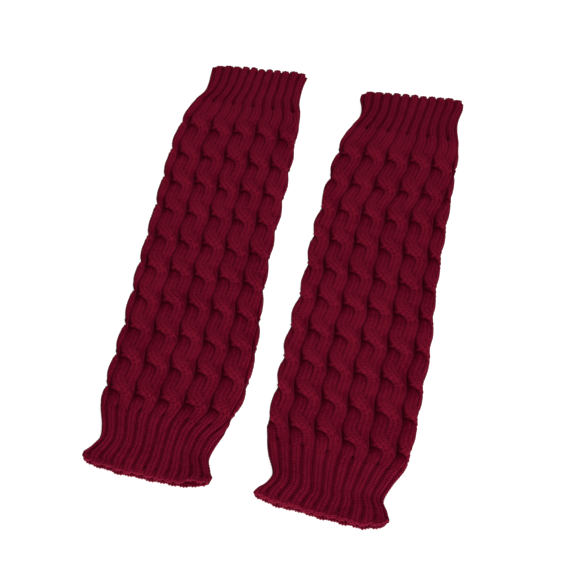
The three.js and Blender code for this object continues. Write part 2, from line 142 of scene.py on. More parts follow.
# %% The two leg warmers
# Seams, first and last crossing are places along y. The corners say how far the left and the right corner
# of a rim are drawn in. The lip is given by its place, its lift and how far it draws back, the tongue by
# its place and length. The last pair says how many cables' worth of ribs lies on top of each cuff.
WARMERS = {
    "left": dict(
        courses=LEFT_COURSES, top_seam=166.5, bottom_seam=-158.5, first=136.3, last=-139.9,
        top_corners=(3.2, 0.6), bottom_corners=(5.0, 8.5), seed=3,
        lip=(0.75, 2.0, 2.0), tongue=(0.75, 0.0), cuff_on_top=(5.97, 6.13),
    ),
    "right": dict(
        courses=RIGHT_COURSES, top_seam=169.5, bottom_seam=-158.5, first=139.0, last=-139.9,
        top_corners=(3.6, 1.0), bottom_corners=(4.5, 8.0), seed=8,
        lip=(0.6, 0.3, 0.2), tongue=(0.6, 1.6), cuff_on_top=(5.9, 5.93),
    ),
}
for warmer in WARMERS.values():
    warmer["top"] = warmer["courses"][0][0]
    warmer["bottom"] = warmer["courses"][-1][0]
print("lengths in mm:", [w["top"] - w["bottom"] for w in WARMERS.values()])

# %% [markdown]
# ## Smooth curves through the tables
# Between two rows of a table the cloth changes gently. Straight lines between rows would show as kinks
# along the edge, so a curve with matching slopes runs through the rows.

# %% Curve helpers
def smooth(start, end, value):
    t = np.clip((value - start) / (end - start), 0.0, 1.0)
    return t * t * (3 - 2 * t)


def mix(a, b, t):
    return a + (b - a) * t


def follow(warmer, column, y):
    rows = np.array(warmer["courses"])
    ys, values = rows[:, 0], rows[:, COLUMNS.index(column)]
    before = np.maximum(np.arange(len(ys)) - 1, 0)
    after = np.minimum(np.arange(len(ys)) + 1, len(ys) - 1)
    slopes = (values[after] - values[before]) / (ys[after] - ys[before])
    i = np.clip(np.searchsorted(-ys, -np.asarray(y), side="right") - 1, 0, len(ys) - 2)
    span = ys[i + 1] - ys[i]
    t = np.clip((y - ys[i]) / span, 0.0, 1.0)
    bends = (t**3 - 2 * t**2 + t) * slopes[i] + (t**3 - t**2) * slopes[i + 1]
    return mix(values[i], values[i + 1], t * t * (3 - 2 * t)) + span * bends


print("left width at y = 0:", round(float(follow(WARMERS["left"], "width", 0.0)), 1))

# %% [markdown]
# ## The flattened section
# A tube that lies flat is two walls on each other with a round fold at each side. A squashed circle would
# be too thick in the middle, so the section is two straight runs joined by two half circles. A place on it
# is counted in cables, from the left fold over the top. In the leg 5.7 of the 12 cables lie on top. The
# cuffs are slacker and have turned a little, so they show the ribs of 5.9 to 6.1.

# %% Section of the tube
CABLES = 12
CABLES_ON_TOP = 5.7


def section(around, half_width, half_height, cables_on_top):
    flat = half_width - half_height
    quarter = math.pi / 2 * half_height
    half = 2 * flat + 2 * quarter
    turns = np.mod(around, CABLES)
    on_top = turns <= cables_on_top
    below = (turns - cables_on_top) / (CABLES - cables_on_top)
    share = np.where(on_top, turns / cables_on_top, below)
    run = share * half
    from_fold = np.minimum(run, half - run)
    angle = np.minimum(from_fold / half_height, math.pi / 2)
    side = np.where(run < half / 2, -1.0, 1.0)
    across = side * (flat + half_height * np.cos(angle))
    in_middle = from_fold > quarter
    across = np.where(in_middle, run - quarter - flat, across)
    out = np.where(in_middle, 0.0, side * np.cos(angle))
    up = np.where(in_middle, 1.0, np.sin(angle))
    flip = np.where(on_top, 1.0, -1.0)
    return flip * across, flip * up * half_height, flip * out, flip * up


middle = section(CABLES_ON_TOP / 2, 60.0, 6.0, CABLES_ON_TOP)
print("middle of the top, across and up in mm:", [round(float(v), 1) for v in middle[:2]])

# %% From cuff to leg
LEG_HEIGHT, CUFF_HEIGHT, HEIGHT_EASE = 12.0, 10.6, 26.0


def leg_share(warmer, y):
    half = HEIGHT_EASE / 2
    top = smooth(warmer["top_seam"] + half, warmer["top_seam"] - half, y)
    return top * smooth(warmer["bottom_seam"] - half, warmer["bottom_seam"] + half, y)


def cables_shown(warmer, y):
    return mix(np.where(y > 0, *warmer["cuff_on_top"]), CABLES_ON_TOP, leg_share(warmer, y))


print("cables' worth on top of the left hem:", round(float(cables_shown(WARMERS["left"], -200.0)), 2))

# %% [markdown]
# ## Placing a course on the floor
# A course is laid at its place in the table and turned by its lean. The corners of a rim are drawn in,
# because its edge row is firmer than the knitting. The finished mesh could be bent instead, but when the
# placing does it, the stitches follow the cloth.

# %% Place of a course
CORNER_REACH, CORNER_POWER = 16.0, 5


def corner_shift(warmer, y, share):
    from_top = 1 - smooth(0, CORNER_REACH, warmer["top"] - y)
    from_bottom = 1 - smooth(0, CORNER_REACH, y - warmer["bottom"])
    top = np.where(share < 0, *warmer["top_corners"])
    bottom = np.where(share < 0, *warmer["bottom_corners"])
    return np.abs(share) ** CORNER_POWER * (bottom * from_bottom - top * from_top)


def place(warmer, y, across, z, shift):
    lean = np.radians(follow(warmer, "lean", y))
    x = follow(warmer, "x", y) + across * np.cos(lean) + TO_MIDDLE[0]
    return np.stack([x, y + across * np.sin(lean) + shift + TO_MIDDLE[1], z + 0 * x], axis=-1)


print("left fold at y = 0:", np.round(place(WARMERS["left"], 0.0, -60.0, 6.0, 0.0), 1))

# %% [markdown]
# ## The open corner of the mouth
# At the bottom mouth the upper wall does not lie quite shut: near the right fold it lifts and draws back,
# so a slit shows with the lower wall under it. A smooth bump in the height and in the length does this.
# On the right leg warmer the hem also comes forward there, like a short tongue.

# %% The lifted lip
LIP_SPREAD, LIP_LENGTH, LIP_UP = 0.13, 24.0, 0.8
TONGUE_SPREAD = 0.1


def open_lip(warmer, y, share, up):
    at, lift, drawn_back = warmer["lip"]
    across = np.exp(-(((share - at) / LIP_SPREAD) ** 2))
    lip = across * (1 - smooth(0, LIP_LENGTH, y - warmer["bottom"])) * smooth(0, LIP_UP, up)
    return lift * lip, drawn_back * lip


def tongue_length(warmer, share):
    at, length = warmer["tongue"]
    return length * np.exp(-(((share - at) / TONGUE_SPREAD) ** 4))


print("lips stand up by, in mm:", [w["lip"][1] for w in WARMERS.values()])

# %% [markdown]
# ## Ribs
# A cuff is knitted two stitches plain, two purl. The plain pairs stand up as ridges and the purl pairs
# sink between them, which is what makes a cuff stretchy. The ridge could be a half round, but two plain
# stitches side by side give it a broad top, so a smooth step on each side of the valley is closer.

# %% Rib relief
RIB_DEPTH, RIBS_PER_CABLE = 2.6, 2
RIB_VALLEY_HALF = {"top": 0.36, "bottom": 0.25}
RIDGE_SHARE, RIB_CROWN, STITCHES_IN_A_RIB = 0.7, 0.35, 4


def rib_depth(across_cable, y):
    rib = across_cable * RIBS_PER_CABLE
    from_valley = np.abs(rib - np.round(rib)) + 0 * y
    half = np.where(y > 0, RIB_VALLEY_HALF["top"], RIB_VALLEY_HALF["bottom"])
    valley = 1 - smooth(0, half, from_valley)
    return RIB_DEPTH * (RIB_CROWN * (1 - 2 * from_valley) ** 2 + (1 - RIB_CROWN) * valley)


def rib_stitch(cable):
    rib = cable * RIBS_PER_CABLE
    part = rib - np.floor(rib)
    purl = (1 - RIDGE_SHARE) / 2
    stitches = [0, 1, STITCHES_IN_A_RIB - 1, STITCHES_IN_A_RIB]
    return np.floor(rib) * STITCHES_IN_A_RIB + np.interp(part, [0, purl, 1 - purl, 1], stitches)


STITCHES_ROUND = CABLES * RIBS_PER_CABLE * STITCHES_IN_A_RIB
print("stitches round a cuff:", STITCHES_ROUND)

# %% [markdown]
# ## Rope cables
# A cable is six plain stitches wide. Every fourteen courses the knitter carries the left three over the
# right three. So each strand runs down the left side, sweeps over to the right, runs down the right side
# and dives under the next one. Twisted tubes could be laid on a flat cloth, but then the stitches would
# not run from one into the other. Here each strand is a raised track in the wall, and the highest
# strand at a place is the one that shows.

# %% Gutters between cables
# Down the tube a place s is counted in crossings. Across a cable a place a goes from -0.5 to 0.5. A pair
# such as (0.15, 0.4) says from where to where something changes. Depths are in millimetres.
CROSSINGS = 10
COURSES_PER_CROSSING = 14
GUTTER_DEPTH, GUTTER_SHALLOW, GUTTER_EASE = 3.2, 2.3, (0.15, 0.4)


def nearest_crossing(s):
    return np.clip(np.round(s), 0, CROSSINGS - 1)


def gutter_depth(s):
    return mix(GUTTER_DEPTH, GUTTER_SHALLOW, smooth(*GUTTER_EASE, np.abs(s - nearest_crossing(s))))


print("gutter beside a crossing and between two, mm:", float(gutter_depth(0.0)), float(gutter_depth(0.5)))

# %% Edges of a strand
# The right edge sweeps over to the right, and then the left edge follows it in a hook. At the crossing both
# are pinched, which leaves a dark notch on each side.
SWEEP, HOOK = (-0.32, 0.1), (0.08, 0.3)
NOTCH_DEPTH, NOTCH_HALF, NOTCH_REACH, GUTTER_HALF = 1.4, 0.09, 0.17, 0.035


def quarter_arc(start, end, value):
    t = 1 - np.clip((value - start) / (end - start), 0, 1)
    return np.sqrt(1 - t * t)


def has_crossing(number):
    return (number >= 0) & (number < CROSSINGS)


def sweep(number, down):
    return np.where(has_crossing(number), smooth(*SWEEP, down), 0.0)


def strand_edges(number, down):
    pinched = NOTCH_HALF * np.exp(-((down / NOTCH_REACH) ** 2))
    hooked = np.where(has_crossing(number), quarter_arc(*HOOK, down), 0.0)
    left = np.where(number < 0, 0.0, 0.5 * hooked - 0.5 + pinched + GUTTER_HALF * (1 - hooked))
    right = np.where(number < 0, 0.5 - GUTTER_HALF, (0.5 - GUTTER_HALF - pinched) * sweep(number, down))
    return left, right


print("edges of a strand above its crossing:", [round(float(v), 2) for v in strand_edges(1, -0.5)])

# %% Rounded sides of a strand
# A side is deep where it borders on a gutter and shallow where the other strand of its cable lies beside it.
PARTNER_DEPTH, EDGE_ROUND, LEFT_EASE, RIGHT_EASE = 0.25, 0.19, (0.0, 0.28), (-0.15, 0.1)


def edge_drop(inwards):
    t = 1 - np.clip(inwards / EDGE_ROUND, 0, 1)
    return 1 - np.sqrt(1 - t * t)


def rounded_sides(number, a, s):
    down, gutter = s - number, gutter_depth(s)
    left, right = strand_edges(number, down)
    left_depth = np.where(number < 0, PARTNER_DEPTH, mix(gutter, PARTNER_DEPTH, smooth(*LEFT_EASE, down)))
    right_depth = np.where(number < 0, gutter, mix(PARTNER_DEPTH, gutter, smooth(*RIGHT_EASE, down)))
    return left_depth * edge_drop(a - left) + right_depth * edge_drop(right - a)


halfway = GUTTER_DEPTH * edge_drop(EDGE_ROUND / 2)
print("drop halfway across a deep rounded side, mm:", round(float(halfway), 2))

# %% How a strand rises and dives
# It comes up from under the strand before it, quickly at first and then slowly, stands highest at its own
# crossing, and dives before the next one.
CROSSING_RISE, CROSSING_SPREAD = 0.5, 0.2
EMERGE_QUICK, QUICK, EMERGE_SLOW, SLOW = 1.4, (0.05, 0.42), 1.2, (0.1, 0.75)
EMERGE_RIGHT, EMERGE_ACROSS, ARCH, ARCH_HALF = 0.75, (-0.42, 0.0), 0.12, 0.25
DIVE_DEPTH, DIVE = 0.7, (0.55, 0.95)


def rise_and_dive(number, a, down):
    under = down + 1 - ARCH * ((a + ARCH_HALF) / ARCH_HALF) ** 2
    low = mix(1.0, EMERGE_RIGHT, smooth(*EMERGE_ACROSS, a))
    quick = np.where(number > 0, EMERGE_QUICK * low * (1 - smooth(*QUICK, under)), 0.0)
    slow = np.where(number > 0, EMERGE_SLOW * (1 - smooth(*SLOW, down + 1)), 0.0)
    diving = np.where(number < CROSSINGS - 1, DIVE_DEPTH * smooth(*DIVE, down), 0.0)
    rise = np.where(has_crossing(number), CROSSING_RISE * np.exp(-((down / CROSSING_SPREAD) ** 2)), 0.0)
    return rise - quick - slow - diving


def strand_height(number, a, s):
    down = s - number
    left, right = strand_edges(number, down)
    height = rise_and_dive(number, a, down) - rounded_sides(number, a, s)
    return np.where((a > left) & (a < right), height, -GUTTER_DEPTH - NOTCH_DEPTH)


print("top of a crossing, mm:", round(float(strand_height(1, 0.0, 1.0)), 2))

# %% Stitches along a strand
# Three columns of stitches run along it. Where it slants, its courses slant too. The slant is that of its
# middle, halfway between its first and its last column.
BEND, PITCH_RATIO, STRAND_WALES = (-0.18, 0.3), 0.67, 3


def steepness(start, end, value):
    t = np.clip((value - start) / (end - start), 0, 1)
    return 6 * t * (1 - t) / (end - start)


def strand_stitches(number, a, s):
    down, crosses = s - number, has_crossing(number)
    bend = np.where(crosses, smooth(*BEND, down), 0.0)
    first = np.where(number < 0, 0.0, 0.5 * bend - 0.5)
    last = np.where(number < 0, 0.5, 0.5 * sweep(number, down))
    wale = STRAND_WALES * (a - first) / (last - first)
    middle_slope = (0.5 * steepness(*BEND, down) + 0.5 * steepness(*SWEEP, down)) / 2
    slant = PITCH_RATIO * np.where(crosses, middle_slope, 0.0)
    return wale, s + (a - first) * PITCH_RATIO * slant / (1 + slant**2)


print("column and course in a crossing:", [round(float(v), 2) for v in strand_stitches(1, 0.0, 1.0)])

# %% All the strands of a cable
BLEND = 0.8


def cable_relief(a, s):
    near = nearest_crossing(s)
    notch = np.exp(-(((s - near) / NOTCH_REACH) ** 2))
    height = -gutter_depth(s) - NOTCH_DEPTH * notch + 0 * a
    wale, course = STRAND_WALES * (a + 0.5) + 0 * s, s + 0 * a
    for number in (near - 1, near, near + 1):
        h = strand_height(number, a, s)
        w, c = strand_stitches(number, a, s)
        over = h > height
        blend = BLEND / 4 * np.clip(1 - np.abs(h - height) / BLEND, 0, 1) ** 2
        height = np.where(over, h, height) + blend
        wale, course = np.where(over, w, wale), np.where(over, c, course)
    return height, wale, course * COURSES_PER_CROSSING


print("height in a notch, mm:", round(float(cable_relief(-0.5, 1.0)[0]), 2))

# %% Folds drawn in at the crossings
FOLD_PINCH = 6.5


def fold_pinch(s):
    to_middle = np.clip(2 * np.abs(s - nearest_crossing(s)), 0, 1)
    return FOLD_PINCH * (1 - np.sqrt(1 - (1 - to_middle) ** 2))


print("a fold is drawn in by, mm:", float(fold_pinch(1.0)))

# %% [markdown]
# ## Stitches
# Plain knitting is columns of V shapes, one V to a stitch. Modelling every loop as its own yarn is the
# truest way, but this pair has more than thirty thousand. A low relief with a groove between columns, a
# fainter one down the middle of each V, and arms that rise outwards reads as knitting from arm's length.

# %% Stitch relief
WALE_GROOVE, GROOVE_POWER = {"cables": 0.75, "ribs": 1.25}, 2.2
MIDDLE_GROOVE, MIDDLE_HALF = 0.1, 0.14
ARM_RELIEF, ARM_SLANT = 0.42, 1.1


def stitch_relief(pattern, wale, course):
    part = wale - np.floor(wale) - 0.5
    groove = -WALE_GROOVE[pattern] * np.abs(2 * part) ** GROOVE_POWER
    middle = -MIDDLE_GROOVE * np.exp(-((part / MIDDLE_HALF) ** 2))
    arms = ARM_RELIEF * np.cos(2 * math.pi * (course - ARM_SLANT * (0.5 - np.abs(part))))
    return groove + middle + arms * (1 - np.abs(2 * part) ** 4)


print("top of an arm and bottom of a groove, mm:",
      round(float(stitch_relief("ribs", 0.3, 0.33)), 2), round(float(stitch_relief("ribs", 0.0, 0.0)), 2))

# %% [markdown]
# ## Small unevenness
# No hand or machine knit is perfectly even: a crossing sits a little high, a gutter wanders. A few slow
# waves with a fixed seed shift the pattern by about a stitch at most, the same way in every run.

# %% Slow waves
WAVE_SEED = {"gutters": 0, "courses": 1, "top": 5, "pits": 5, "bottom": 8}


def waves(warmer, kind, u, v, count=5):
    rng = np.random.default_rng(warmer["seed"] + WAVE_SEED[kind])
    total = 0 * (u + v)
    for _ in range(count):
        ku, kv = rng.uniform(0.4, 2.4, 2) * rng.choice([-1, 1], 2)
        total = total + np.sin(ku * u + kv * v + rng.uniform(0, 6.28))
    return total / math.sqrt(count)


print("wave sample:", round(float(waves(WARMERS["left"], "gutters", 0.5, 1.0)), 3))

# %% [markdown]
# ## The rims
# The edges are not straight: each rib ends in a small bump, and the lower wall lies a little nearer to
# the front than the upper one. The rim could be cut with a wavy tool, but a shift along the tube that
# fades away from the rim bends the last courses with it, as yarn does.

# %% Relief underneath, and the way across a rib
UNDER_RELIEF, UNDER_EASE = 0.45, (-0.95, -0.3)


def relief_share(up):
    return mix(UNDER_RELIEF, 1.0, smooth(*UNDER_EASE, up))


def from_crown(cable):
    rib = cable * RIBS_PER_CABLE
    return 2 * np.abs(rib - np.floor(rib) - 0.5)


print("share of the relief underneath and on top:", float(relief_share(-1.0)), float(relief_share(1.0)))

# %% Shift of a rim
RIM_OUT, RIM_FADE, RIM_UNEVEN, RIM_STRIDE = 0.8, 7.0, 0.6, 2.3
RIM_SCALLOP = {"top": 3.0, "bottom": 1.8}
LOWER_FORWARD, LOWER_WALL = {"top": 2.6, "bottom": 1.1}, (0.3, -0.7)


def rim_shift(warmer, y, cable, share, up):
    rib = np.floor(cable * RIBS_PER_CABLE)
    curve = from_crown(cable) ** 2 * relief_share(up)
    lower = smooth(*LOWER_WALL, up)
    shift = -tongue_length(warmer, share) * smooth(RIM_FADE, 0.0, y - warmer["bottom"])
    for end, inwards, turn in (("top", warmer["top"] - y, -1.0), ("bottom", y - warmer["bottom"], 1.0)):
        bumps = RIM_UNEVEN * waves(warmer, end, rib * RIM_STRIDE, 0 * y)
        edge = turn * (RIM_SCALLOP[end] * curve + bumps) - LOWER_FORWARD[end] * lower + RIM_OUT
        shift = shift + edge * smooth(RIM_FADE, 0.0, inwards)
    return shift


def lift_and_shift(warmer, y, cable, share, up):
    lift, drawn_back = open_lip(warmer, y, share, up)
    return lift, corner_shift(warmer, y, share) + drawn_back + rim_shift(warmer, y, cable, share, up)


hem = WARMERS["left"]["bottom"]
crown = rim_shift(WARMERS["left"], hem, 0.25, 0.0, 1.0)
print("shift of the left hem at a rib's crown, mm:", round(float(crown), 2))

# %% Ribs near the rims
# The ribs fade out towards the hem, with a small pit between two of them, and end in a ball at the top.
HEM_FADE, HEM_EASE = 0.25, (1.0, 9.0)
HEM_PIT_AT, HEM_PIT_DEPTH, HEM_PIT_WIDE, HEM_PIT_LONG, HEM_PIT_STRIDE = 7.0, 1.1, 0.16, 1.6, 1.7
BALL_HEIGHT, BALL_AT, BALL_LONG = 0.6, 3.0, 2.0


def cuff_depth(warmer, y, cable):
    from_hem = y - warmer["bottom"]
    rib = np.round(cable * RIBS_PER_CABLE)
    uneven = 1 + RIM_UNEVEN * waves(warmer, "pits", rib * HEM_PIT_STRIDE, 0 * y)
    beside = (1 - from_crown(cable)) / HEM_PIT_WIDE
    pit = np.exp(-(beside**2) - ((from_hem - HEM_PIT_AT) / HEM_PIT_LONG) ** 2)
    ribs = rib_depth(cable - np.floor(cable), y) * mix(HEM_FADE, 1.0, smooth(*HEM_EASE, from_hem))
    return ribs + HEM_PIT_DEPTH * pit * uneven


def rim_ball(warmer, y, cable):
    from_top = (warmer["top"] - y - BALL_AT) / BALL_LONG
    return BALL_HEIGHT * np.exp(-(from_top**2)) * (1 - from_crown(cable) ** 2)


valley = cuff_depth(WARMERS["left"], -190.0, 0.5)
print("depth between two ribs of the left bottom cuff, mm:", round(float(valley), 2))

# %% [markdown]
# ## The outer surface
# The pattern is pushed inwards from the crown of the cables along the section's own normal. On the
# underside the cloth is pressed on the floor, so there the crowns are flat and only the gutters sink.
# Between cuff and leg the ribs change into cables over about one crossing, with a small pit where the
# two ribs of a cable close up.

# %% From ribs to cables
CABLES_BEGIN, CABLES_END = (-1.0, -0.72), (CROSSINGS - 0.38, CROSSINGS - 0.7)
SWAY_BEGIN, SWAY_END = (-0.9, -0.4), (CROSSINGS - 0.5, CROSSINGS - 0.9)
PITS, PIT_DEPTH, PIT_WIDE, PIT_LONG = (-0.92, CROSSINGS - 0.42), 2.0, 0.07, 0.06


def between(begin, end, down):
    return smooth(*begin, down) * smooth(*end, down)


def closing_pits(across_cable, down):
    beside = (across_cable - 0.5) / PIT_WIDE
    return sum(PIT_DEPTH * np.exp(-(beside**2) - ((down - at) / PIT_LONG) ** 2) for at in PITS)


print("cables halfway in at, in crossings:", sum(CABLES_BEGIN) / 2, sum(CABLES_END) / 2)

# %% Depth of the pattern
# For each point: how deep it lies under the crowns, its column and course, and how far a fold is drawn in.
COURSE_UNEVEN, CABLE_STRIDE, CROSSING_STRIDE = 0.045, 1.3, 1.1


def crossings_down(warmer, y):
    pitch = (warmer["first"] - warmer["last"]) / (CROSSINGS - 1)
    return (warmer["first"] - y) / pitch


def pattern_depth(warmer, pattern, y, cable, down):
    depth = cuff_depth(warmer, y, cable)
    if pattern == "ribs":
        return depth, rib_stitch(cable) + 0 * y, down * COURSES_PER_CROSSING + 0 * cable, 0 * (y + cable)
    begun = between(CABLES_BEGIN, CABLES_END, down)
    uneven = down + COURSE_UNEVEN * waves(warmer, "courses", cable * CABLE_STRIDE, down * CROSSING_STRIDE)
    across_cable = cable - np.floor(cable)
    relief, wale, course = cable_relief(across_cable - 0.5, uneven)
    depth = mix(depth, -relief, begun) + closing_pits(across_cable, down)
    return depth, wale, course, begun * fold_pinch(uneven)


print("crossings down at y = 0:", [round(crossings_down(w, 0.0), 2) for w in WARMERS.values()])

# %% Outer surface
WANDER, WANDER_LENGTH = {"ribs": 0.03, "cables": 0.016}, 14
SNAKE, SNAKE_START, RIGHT_SHARE = 0.045, 0.08, 0.42
STITCHES_FADE, STITCHES_UP = (0.97, 0.7), (-0.9, -0.2)


def outer(warmer, pattern, y, cable, inset=0.0):
    down = crossings_down(warmer, y)
    turn = follow(warmer, "turn", y) + WANDER[pattern] * waves(warmer, "gutters", y / WANDER_LENGTH, cable)
    snake = SNAKE * between(SWAY_BEGIN, SWAY_END, down) * np.sin(2 * math.pi * (down - SNAKE_START))
    height = mix(CUFF_HEIGHT, LEG_HEIGHT, leg_share(warmer, y))
    half_width = follow(warmer, "width", y) / 2
    across, rise, out, up = section(cable + turn + snake, half_width, height / 2, cables_shown(warmer, y))
    depth, wale, course, drawn_in = pattern_depth(warmer, pattern, y, cable, down)
    pinch = drawn_in * out**2 * np.where(out < 0, 1.0, RIGHT_SHARE)
    plain = smooth(*STITCHES_FADE, depth / GUTTER_DEPTH) * smooth(*STITCHES_UP, up)
    ball = rim_ball(warmer, y, cable) * np.maximum(up, 0)
    pushed = (depth + inset - ball) * relief_share(up) + pinch - stitch_relief(pattern, wale, course) * plain
    lift, shift = lift_and_shift(warmer, y, cable, across / half_width, up)
    z = np.maximum(height / 2 + rise - up * pushed + lift, 0.0)
    points = place(warmer, y, across - out * pushed, z, shift)
    return points, np.stack([wale, course, depth / GUTTER_DEPTH + 0 * wale], axis=-1)


print("outer point at y = 0, mm:", np.round(outer(WARMERS["left"], "cables", 0.0, 2.0)[0], 1))

# %% [markdown]
# ## The inner surface
# Inside, the tube is plain, and its two walls lie about a millimetre apart, up to the lifted lip. It could
# follow the cables, but it is hardly seen, so it has the same section as the outside, only smaller.

# %% Inner surface
LEG_UNDER_WALL, CUFF_UNDER_WALL, SIDE_WALL, INNER_GAP = 4.2, 3.6, 6.0, 1.2
# The inside is given a fixed depth, which darkens it with the yarn material's painted shade.
COURSE, INSIDE_PAINTED_SHADE_DEPTH = 2.19, 0.3


def inner(warmer, y, cable, inset=0.0):
    around = cable + follow(warmer, "turn", y)
    half_gap = INNER_GAP / 2 + inset
    half_width = follow(warmer, "width", y) / 2 - SIDE_WALL + inset
    across, rise, out, up = section(around, half_width, half_gap, cables_shown(warmer, y))
    lower_wall = mix(CUFF_UNDER_WALL, LEG_UNDER_WALL, leg_share(warmer, y)) - inset
    lift, shift = lift_and_shift(warmer, y, cable, across / half_width, up)
    points = place(warmer, y, across, lower_wall + half_gap + rise + lift, shift)
    wale, course = cable * STITCHES_ROUND / CABLES + 0 * y, y / COURSE + 0 * cable
    return points, np.stack([wale, course, INSIDE_PAINTED_SHADE_DEPTH + 0 * wale], axis=-1)


print("inner point at y = 0, mm:", np.round(inner(WARMERS["left"], 0.0, 2.0)[0], 1))

# %% [markdown]
# ## Columns and rows of the mesh
# The mesh needs about four points across a stitch to show it, but only where the stitches are seen. So
# the columns are close together on the top and round the folds, and far apart on the underside. Inside,
# a row for every ten courses is enough.

# %% Column and row lists
FIRST_CABLE, FINE_FROM, FINE_TO = -2, -1, 5
COLUMNS_IN_A_CABLE = {"cables": (24, 12, 6), "ribs": (24, 24, 12)}


def column_list(pattern):
    fine, medium, coarse = COLUMNS_IN_A_CABLE[pattern]
    steps = []
    for cable in range(FIRST_CABLE, FIRST_CABLE + CABLES):
        shown = FINE_FROM <= cable <= FINE_TO
        beside = cable in (FINE_FROM - 1, FINE_TO + 1)
        count = fine if shown else medium if beside else coarse
        steps.extend(cable + np.arange(count) / count)
    return np.array(steps)


def row_list(start, end, per_course):
    count = max(2, int(round(abs(start - end) / COURSE * per_course)))
    return np.linspace(start, end, count + 1)


print("columns round a leg and a cuff:", len(column_list("cables")), len(column_list("ribs")))

# %% [markdown]
# ## One closed wall
# The outer rows, the rounded edge, the inner rows and the other edge follow each other like the rings of
# a hose that is joined to itself. So each piece is one grid that closes both ways, with no open edge.

# %% Rings of one wall
# SEAM_ROW is a second row close to each end, so the shading stays even up to the seam.
RIM_ROUND, ROUND_STEPS, SEAM_ROW = 0.9, (0.0, 0.3, 0.7), 0.04
ROWS_OUTSIDE, ROWS_INSIDE = 3, 0.1


def wall_rings(warmer, pattern, start, end, rim):
    columns, rings = column_list(pattern)[None, :], []
    start_round = ROUND_STEPS if rim == "start" else ()
    end_round = ROUND_STEPS if rim == "end" else ()

    def outside(y, inset=0.0):
        return outer(warmer, pattern, y, columns, inset)

    def inside(y, inset=0.0):
        return inner(warmer, y, columns, inset)

    def rounded(surface, at, sign, steps):
        for step in steps:
            inset = RIM_ROUND * (1 - math.sqrt(1 - (1 - step) ** 2))
            rings.append(surface(np.array([[at + sign * step * RIM_ROUND]]), inset))

    def rows(surface, begin, finish, per_course):
        inward = math.copysign(SEAM_ROW, finish - begin)
        y = row_list(begin, finish, per_course)
        y = np.concatenate([y[:1], y[:1] + inward, y[1:-1], y[-1:] - inward, y[-1:]])
        rings.append(surface(y[:, None]))

    first = start - RIM_ROUND * bool(start_round)
    last = end + RIM_ROUND * bool(end_round)
    rounded(outside, start, -1, start_round)
    rows(outside, first, last, ROWS_OUTSIDE)
    rounded(outside, end, 1, end_round[::-1])
    rounded(inside, end, 1, end_round)
    rows(inside, last, first, ROWS_INSIDE)
    rounded(inside, start, -1, start_round[::-1])
    return [np.concatenate(kind) for kind in zip(*rings)]


# %% From rings to a mesh
def ring_mesh(name, points, stitches):
    rows, cols = points.shape[:2]
    r, c = np.meshgrid(np.arange(rows), np.arange(cols), indexing="ij")
    r2, c2 = (r + 1) % rows, (c + 1) % cols
    quads = np.stack([r * cols + c, r2 * cols + c, r2 * cols + c2, r * cols + c2], axis=-1).reshape(-1, 4)
    mesh = bpy.data.meshes.new(name)
    mesh.vertices.add(rows * cols)
    mesh.vertices.foreach_set("co", (points / 1000).astype(np.float32).ravel())
    mesh.loops.add(quads.size)
    mesh.loops.foreach_set("vertex_index", quads.astype(np.int32).ravel())
    mesh.polygons.add(len(quads))
    mesh.polygons.foreach_set("loop_start", np.arange(0, quads.size, 4, dtype=np.int32))
    mesh.update(calc_edges=True)
    mesh.attributes.new("stitch", "FLOAT_VECTOR", "POINT")
    mesh.attributes["stitch"].data.foreach_set("vector", stitches.astype(np.float32).ravel())
    mesh.shade_smooth()
    piece = bpy.data.objects.new(name, mesh)
    bpy.context.collection.objects.link(piece)
    print(name, "triangles:", 2 * len(quads))
    return piece


# %% [markdown]
# ## The yarn
# It looks like a smooth acrylic or wool yarn in one wine-red shade. Close up, light catches the loose fibres
# as a soft sheen, and the plies make fine slanting lines along each arm of a stitch. A picture could hold
# that, but nodes keep it sharp at any size: the stitch numbers stored on the mesh say where each V is. The
# colour also carries painted shade, darker in the grooves and low in the relief. The edge rows are a little
# lighter than the cables and the cuffs as painted light, as they look on the pair.

# %% Node helpers
def add(tree, kind, **values):
    node = tree.nodes.new(kind)
    for key, value in values.items():
        setattr(node, key, value)
    return node


def calc(tree, operation, *inputs):
    node = add(tree, "ShaderNodeMath", operation=operation)
    for i, value in enumerate(inputs):
        if isinstance(value, (int, float)):
            node.inputs[i].default_value = value
        else:
            tree.links.new(value, node.inputs[i])
    return node.outputs[0]


# %% Height of the yarn inside a stitch
PLIES_ALONG, PLIES_ACROSS, PLY_HEIGHT = 25.0, -31.0, 0.16
# Two of these set painted shade: how much darker the yarn is between the arms of a V, and how far the
# darkening spreads from the grooves.
ARM_HEIGHT, ARM_PAINTED_SHADE, BODY_POWER, PAINTED_GROOVE_POWER = 0.5, -0.7, 2.5, 1.3


